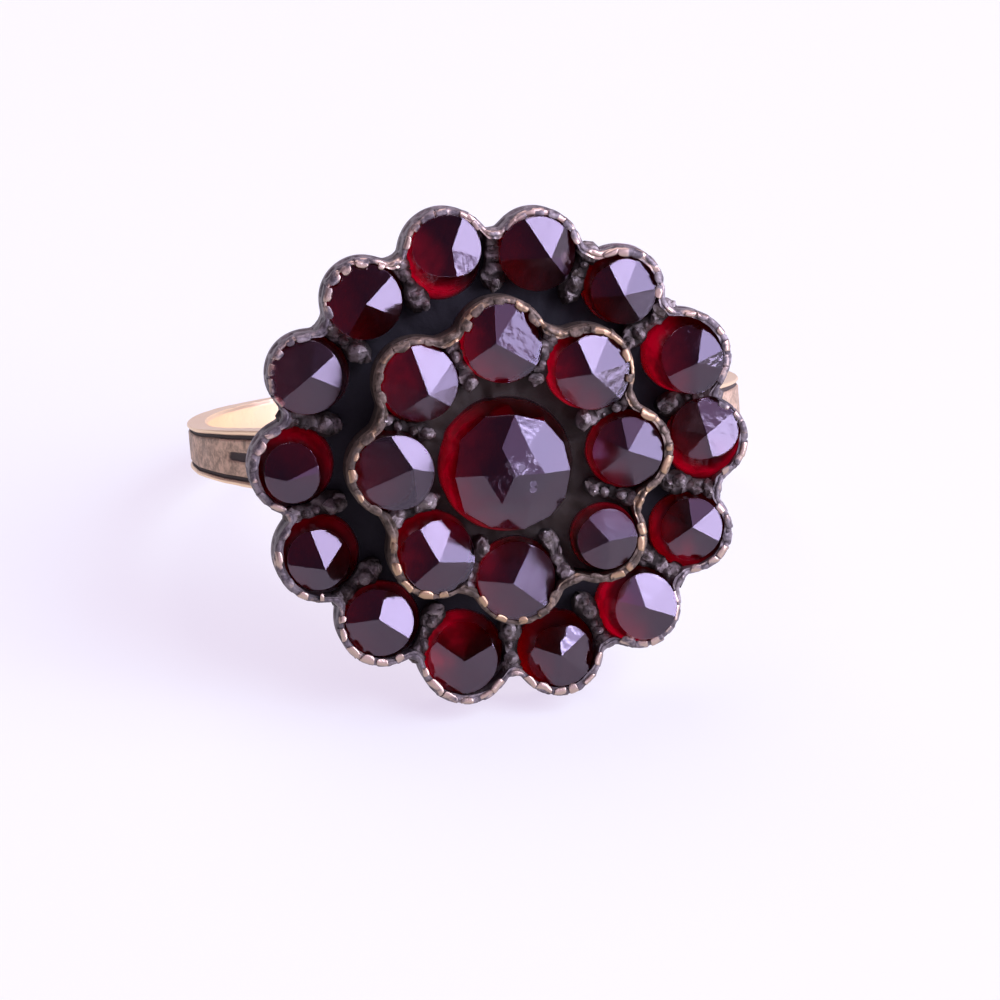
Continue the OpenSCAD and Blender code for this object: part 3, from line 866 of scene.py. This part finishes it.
def claw(tier, k, turn, chance):
    """One strap as (row, column, xyz): the section is half * cos across and thick * sin
    outwards, both squared off a little, and it closes in over the last fifth."""
    ray = around(turn)
    root = tier.lobes[k] + ray * (tier.lobe_r + tier.trim[k] - 0.05)
    tip = root - ray * (0.20 + 0.12 * chance.random())
    top = tier.girdle - 0.08 + 0.05 * chance.random() - 0.06 * (chance.random() < 0.3)
    curve = [np.append(root - 0.02 * ray, top - 0.40), np.append(root + 0.04 * ray, top + 0.07),
             np.append(0.6 * root + 0.4 * tip, top + 0.09), np.append(tip, top + 0.03)]
    share = np.linspace(0, 1, 13)
    path = bend(curve, share)
    ahead = np.gradient(path, axis=0)
    ahead /= np.linalg.norm(ahead, axis=1)[:, None]
    beside = np.array([-ray[1], ray[0], 0.0])
    outward = np.cross(beside, ahead)
    end = np.where(share < 0.82, 1, np.sqrt(np.clip(1 - ((share - 0.82) / 0.185) ** 2, 0.03, 1)))
    half = (0.235 + chance.normal(0, 0.05)) * (1.05 - 0.25 * share) * end
    thick = 0.03 * (0.4 + 0.6 * end)
    loop = np.arange(20) * TURN / 20
    flat, deep = squarish(np.cos(loop), 0.4), squarish(np.sin(loop), 0.6)
    return (path[:, None] + half[:, None, None] * flat[:, None] * beside
            + thick[:, None, None] * deep[:, None] * outward[:, None])


def claws(tier, seed):
    """All the claws of a tier, spread evenly round the outer side of each lobe."""
    chance = np.random.default_rng(seed)
    places = tier.spread * np.linspace(-0.5, 0.5, tier.claws)
    strips = np.stack([claw(tier, k, tier.angles[k] + place + chance.normal(0, 2.8), chance)
                       for k in range(tier.count) for place in places])
    push = np.stack([lumps(strips, 0.25, seed + n) for n in range(3)], -1)
    return strips + 0.04 * push * np.array([1.0, 1.0, 0.7])


def claw_marks(tier):
    """Darker at the foot of the claws, and wear on their backs, most at the head's lower
    side."""
    return {"grime": lambda p: (0.5 * (1 - step(p[:, 2] - tier.girdle, -0.2, -0.04))
                                + 0.25 * lumps(p, 0.6, 18)),
            "worn": lambda p: (0.1 + 0.36 * step(p[:, 2] - tier.girdle, -0.12, -0.02)
                               + 0.26 * step(-p[:, 1], 1.0, 5.0) + 0.5 * lumps(p, 0.45, 8))}


make("lower_claws", [skin(claws(lower, 11))], tray_metal, "gilt_brass", **claw_marks(lower))
make("upper_claws", [skin(claws(upper, 12))], upper_metal, "gilt_brass", **claw_marks(upper))

# %% [markdown]
# ## The grains between the stones
#
# Where two lobes meet, the metal was raised into a ridge of small stubs that helps to
# hold the stones, rough and grey, with light on their tops. Each is a squat post on a
# narrower foot, dented by two sizes of bumps, and a fin between the stones joins them.

# %% Grains


def grains(tier, chain, foot, seed):
    """Rough posts as an array, several in a line inwards between each two stones. Every
    post is given as (radius from the middle, own radius, top below the girdle)."""
    chance = np.random.default_rng(seed)
    share = np.linspace(0, 1, 9)
    loop = np.arange(11) * TURN / 11                    # nine rows of eleven points
    outline = np.where(share < 0.6, 0.62 + 0.38 * step(share, 0.1, 0.6),
                       np.sqrt(np.clip(1 - ((share - 0.6) / 0.405) ** 2, 0, 1)))
    posts, middles = [], []
    for turn in tier.angles - 180 / tier.count:
        for reach, own, below in chain:
            middle = reach * around(turn) + chance.normal(0, 0.06, 2)
            size = own * (1 + chance.normal(0, 0.18))
            tall = tier.girdle - below - foot - 0.28 * chance.random() ** 2
            squash = 1 + chance.normal(0, 0.10)
            ring = np.stack([np.cos(loop) * squash, np.sin(loop) / squash], -1)
            post = np.zeros((len(share), len(loop), 3))
            post[..., :2] = middle + size * outline[:, None, None] * ring
            post[..., 2] = foot + tall * share[:, None]
            posts.append(post)
            middles.append(middle)
    posts, middles = np.stack(posts), np.array(middles)[:, None, None]
    push = 0.30 * lumps(posts, 0.25, seed) + 0.30 * lumps(posts, 0.10, seed + 1)
    posts[..., :2] = middles + (posts[..., :2] - middles) * (1 + push[..., None])
    posts[..., 2] += 0.09 * lumps(posts, 0.12, seed + 2) * step(posts[..., 2], foot, tier.girdle)
    return posts


def ridges(tier, near, far, seed):
    """A fin between each two stones that fills the room they leave. At the distance y from
    the middle, a stone of radius R whose seat is d away along the fin and b beside it
    leaves b - sqrt(R * R - (y - d) ** 2). Two sizes of bumps push the fin about."""
    way, loop = np.linspace(0, 1, 28), np.arange(18) * TURN / 18
    foot = tier.floor + 0.05
    top = tier.girdle - 0.42 - 0.12 * np.sin(way * math.pi) ** 2
    height = (top + foot)[:, None] / 2 + np.outer(top - foot, np.sin(loop)) / 2
    reach = near + way * (far - near)
    half_turn = math.pi / tier.count
    stone = tier.stone_r - 0.20 * step(height, tier.seat, tier.girdle) + 0.02
    room = tier.ring_r * math.sin(half_turn) - np.sqrt(np.maximum(
        stone ** 2 - (reach - tier.ring_r * math.cos(half_turn))[:, None] ** 2, 0))
    taper = np.sqrt(1 - np.abs(2 * way - 1) ** 4 * 0.97)[:, None]
    half = np.minimum(room, tier.fin_w) * taper
    turn = (tier.angles - 180 / tier.count)[:, None, None]
    wide = (half * squarish(np.cos(loop), 0.7))[..., None]
    fins = np.zeros((tier.count, *half.shape, 3))
    fins[..., :2] = reach[:, None, None] * around(turn) + wide * around(turn + 90)
    fins[..., 2] = height
    high = step(fins[..., 2], foot, tier.girdle - 0.3)[..., None]
    push = [0.13 * lumps(fins, 0.34, seed + n) + 0.12 * lumps(fins, 0.13, seed + 3 + n)
            for n in range(3)]
    return fins + high * np.stack(push, -1) * np.array([0.7, 0.7, 1.0])


grain_metal = worn_brass("grey_grains", (0.62, 0.55, 0.52), (0.32, 0.27, 0.26),
                         (0.075, 0.057, 0.047), (0.022, 0.016, 0.013))
LOWER_CHAIN = [(7.12, 0.30, 0.05), (6.8, 0.2, 0.12), (6.4, 0.17, 0.3), (5.95, 0.26, 0.05),
               (5.62, 0.2, 0.15)]
UPPER_CHAIN = [(4.28, 0.26, 0.03), (3.9, 0.18, 0.12), (3.35, 0.16, 0.22), (2.85, 0.23, -0.02)]
for name, tier, chain, fin, seed in (
        ("lower_grains", lower, LOWER_CHAIN, (5.35, 7.35), 21),
        ("upper_grains", upper, UPPER_CHAIN, (2.6, 4.5), 23)):
    # Darker low down between the stones, as grime and as painted shade in the valleys; the tops
    # are rubbed bright and also carry a painted highlight.
    make(name, [skin(grains(tier, chain, tier.floor - 0.05, seed)),
                skin(ridges(tier, *fin, seed + 5))], grain_metal, "gilt_brass", sharp=24,
         grime=lambda p: (0.12 + 0.8 * (1 - step(p[:, 2] - tier.girdle, -0.8, -0.2))
                          + 0.4 * lumps(p, 0.3, 9)),
         worn=lambda p: 0.55 * step(p[:, 2] - tier.girdle, -0.25, 0.05))

# %% [markdown]
# ## The hoop
#
# A thin band runs round the finger from one side of the head's back to the other, more
# golden than the head. Its outer face has a raised rim along each edge with a groove
# beside it, and worn tooling between. One closed section, carried round the finger, gives
# all that: near the head it grows wider and its outer face rises to the plate.

# %% The hoop
FINGER_R, HOOP_R = 9.1, 9.8


def hoop_grid():
    """Rows follow the angle round the finger, 0 being the head; columns go round the
    section. The outer radius is the circle's, or that of the line that leaves it and ends
    at the head's back. The band is 1.56 mm wide at the finger's sides, up to 0.26 less
    below and 0.94 more at the head. Also gives the marks for darkening in the grooves,
    tooled cuts and slot, and for wear."""
    open_end, leave, meet = 20.6, 63.4, 33.13           # degrees from the head's middle
    turn = np.concatenate([np.linspace(open_end, leave, 60), np.linspace(leave + 1, 180, 130)])
    turn = np.concatenate([turn, (360 - turn)[::-1][1:]])
    mirror = np.minimum(turn, 360 - turn)
    outer = np.where(mirror > leave, HOOP_R, HOOP_R / np.cos(np.radians(leave - mirror)))
    outer = np.where(mirror < meet, lower.back / np.cos(np.radians(mirror)), outer)
    out = np.cos(np.radians(turn))
    level = out * HOOP_R / 9.9
    half = np.where(level < 0, 1.56 - 0.26 * level ** 2,
                    1.56 + 0.94 * np.maximum(level, 0) ** 1.5) / 2
    side = np.linspace(-1, 1, 41)
    rim = step(np.abs(side), 0.80, 0.88)
    groove = step(np.abs(side), 0.62, 0.70) * (1 - rim)
    profile = -0.03 - 0.09 * groove + 0.03 * rim - 0.03 * step(np.abs(side), 0.95, 1.0)
    length = np.radians(mirror) * HOOP_R
    along, wide = np.meshgrid(length, side, indexing="ij")
    cuts = np.cos(along * TURN / 1.9 + 1.2) * 0.5 + 0.5
    lens_shape = step(cuts, 0.2, 0.9) * (1 - step(np.abs(wide), 0.05, 0.45)) * 0.45
    slot = step(mirror, 50, 52)[:, None] * (1 - step(mirror, 61, 64))[:, None] * (
        1 - step(np.abs(wide - 0.04), 0.12, 0.22))
    lens_shape = np.maximum(lens_shape * step(mirror, 64, 70)[:, None], slot)
    tooled = 1 - step(mirror, 128, 140)
    raised = outer[:, None] + profile - 0.07 * lens_shape * tooled[:, None]
    inside = FINGER_R + 0.05 * step(np.abs(side), 0.8, 1.0)[None] + 0 * raised
    radius = np.concatenate([raised, inside[:, ::-1]], 1)
    across = np.concatenate([wide, wide[:, ::-1]], 1) * half[:, None]
    bend_way = np.radians(turn)[:, None]
    grid = np.stack([radius * np.sin(bend_way), across, radius * np.cos(bend_way)], -1)
    grid = grid + 0.012 * lumps(grid, 0.6, 31)[..., None]
    grid[..., :2] = grid[..., :2] @ around([2, 92])     # it sits two degrees askew
    dark = np.concatenate([groove[None] + lens_shape * tooled[:, None], 0 * inside], 1)
    worn = np.concatenate([rim[None] + 0 * raised, 0.75 + 0 * inside], 1)
    return grid, dark, worn


hoop_points, hoop_dark, hoop_worn = hoop_grid()


def with_ends(values):
    """Marks for a grid whose two ends were closed with one point each."""
    return lambda p: np.concatenate([values.ravel(), [values[0].mean(), values[-1].mean()]])


hoop_gilt = worn_brass("worn_gilding", (0.90, 0.67, 0.43), (0.60, 0.41, 0.28),
                       (0.26, 0.18, 0.12), (0.05, 0.035, 0.03))
make("hoop", [skin(hoop_points)], hoop_gilt, "gilt_brass", sharp=40,
     grime=with_ends(hoop_dark * 0.9), worn=with_ends(hoop_worn))

# %% [markdown]
# ## The rivet
#
# The rivet's plain shape is right in the CAD model, so it only takes the metal's finish.

# %% The rivet
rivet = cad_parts["tier_rivet"]
rivet.data.materials.clear()
rivet.data.materials.append(worn_brass("rivet_brass").material)
